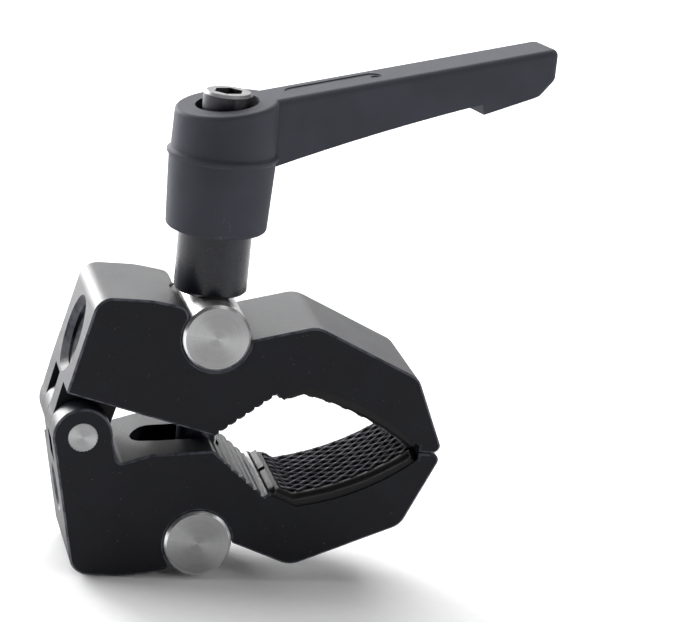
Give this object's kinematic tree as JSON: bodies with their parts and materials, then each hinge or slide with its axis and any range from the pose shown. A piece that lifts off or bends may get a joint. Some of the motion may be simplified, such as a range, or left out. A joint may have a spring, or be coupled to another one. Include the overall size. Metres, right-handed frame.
{
  "type": "pipe clamp",
  "caption": "Pipe clamp with toothed and rubber-padded jaws on a hinge, closed by a stud between cross barrels and an adjustable clamping lever.",
  "frame": {"origin": "axis of the smallest pipe the closed jaws hold, in the middle of the body's width", "axes": "+X from the hinge towards the open mouth of the jaws, +Y along the pipe and the hinge pin, +Z along the clamping stud towards the lever"},
  "size_m": [0.0742, 0.0267, 0.0783],
  "materials": {
    "jaw_anodised": "fine satin black anodising",
    "steel_bright": "turned stainless, concentric marks on the ends",
    "steel_black": "black oxide steel, satin",
    "lever_grey": "dark blue-grey, fine matte grain",
    "pad_rubber": "black rubber with crossed ridges"
  },
  "bodies": {
    "lower_jaw_body": {"lower_jaw": "jaw_anodised", "hinge_pin": "steel_bright", "lower_pad": "pad_rubber"},
    "upper_jaw_body": {"upper_jaw": "jaw_anodised", "upper_pad": "pad_rubber"},
    "stud_body": {"lower_trunnion": "steel_bright", "clamp_stud": "steel_black"},
    "upper_trunnion_body": {"upper_trunnion": "steel_bright"},
    "insert_body": {"threaded_insert": "steel_black", "retaining_screw": "steel_bright", "handle_spring": "steel_bright"},
    "lever_body": {"lever_handle": "lever_grey"}
  },
  "joints": [
    {"name": "jaw_hinge", "type": "hinge", "parent": "lower_jaw_body", "child": "upper_jaw_body", "pos_m": [-0.03, 0, 0], "axis": [0, -1, 0], "range_deg": [0, 50]},
    {"name": "lower_trunnion_swing", "type": "hinge", "parent": "lower_jaw_body", "child": "stud_body", "pos_m": [-0.0118, 0, -0.0158], "axis": [0, -1, 0], "range_deg": [0, 25]},
    {"name": "upper_trunnion_swing", "type": "hinge", "parent": "upper_jaw_body", "child": "upper_trunnion_body", "pos_m": [-0.0118, 0, 0.0158], "axis": [0, -1, 0], "range_deg": [-25, 0]},
    {"name": "lever_turn", "type": "hinge", "parent": "upper_trunnion_body", "child": "insert_body", "pos_m": [-0.0118, 0, 0.03], "axis": [0, 0, 1], "range_deg": [0, 4472.1]},
    {"name": "lever_lift", "type": "slide", "parent": "insert_body", "child": "lever_body", "axis": [0, 0, 1], "range_m": [0, 0.0039], "stiffness_N_per_m": 400, "springref_m": -0.002, "deforming": ["handle_spring"]}
  ],
  "couplings": [
    {"joint": "jaw_hinge", "follows": "lever_turn", "ratio": 0.01118},
    {"joint": "lower_trunnion_swing", "follows": "lever_turn", "ratio": 0.0055902},
    {"joint": "upper_trunnion_swing", "follows": "lever_turn", "ratio": -0.0055902}
  ]
}
